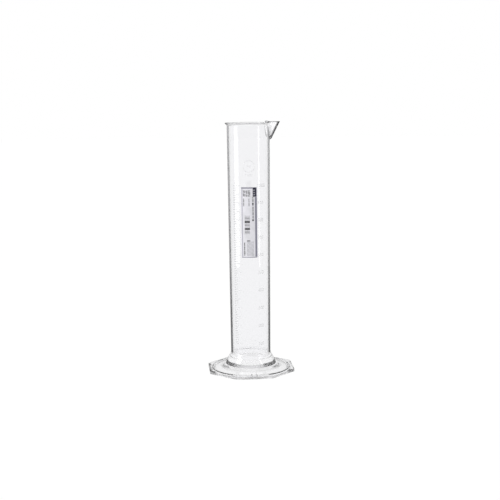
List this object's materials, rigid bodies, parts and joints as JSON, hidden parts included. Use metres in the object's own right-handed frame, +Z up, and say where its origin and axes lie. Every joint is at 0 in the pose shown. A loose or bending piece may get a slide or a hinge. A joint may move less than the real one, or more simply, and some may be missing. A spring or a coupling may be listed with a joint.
{
  "type": "graduated cylinder",
  "caption": "Clear plastic measuring cylinder on an octagonal foot, with a V pouring lip, raised volume scale and a printed label.",
  "frame": {"origin": "centre of the foot's resting face", "axes": "+Z up along the tube's axis, +X towards the pouring lip, scale and label facing -Y"},
  "size_m": [0.147, 0.147, 0.4323],
  "materials": {
    "tube": "clear moulded styrene-acrylonitrile, polished",
    "foot": "clear moulded styrene-acrylonitrile, polished",
    "weld": "clear solvent cement, smooth",
    "relief": "clear raised relief, slightly satin",
    "label": "white vinyl film, satin",
    "ink": "printed ink, matt"
  },
  "bodies": {
    "root": {"measuring_tube": "tube", "octagonal_foot": "foot", "weld_ring": "weld", "graduation_lines": "relief", "graduation_numerals": "relief", "unit_mark": "relief", "label_film": "label", "label_print": "ink"}
  },
  "joints": []
}
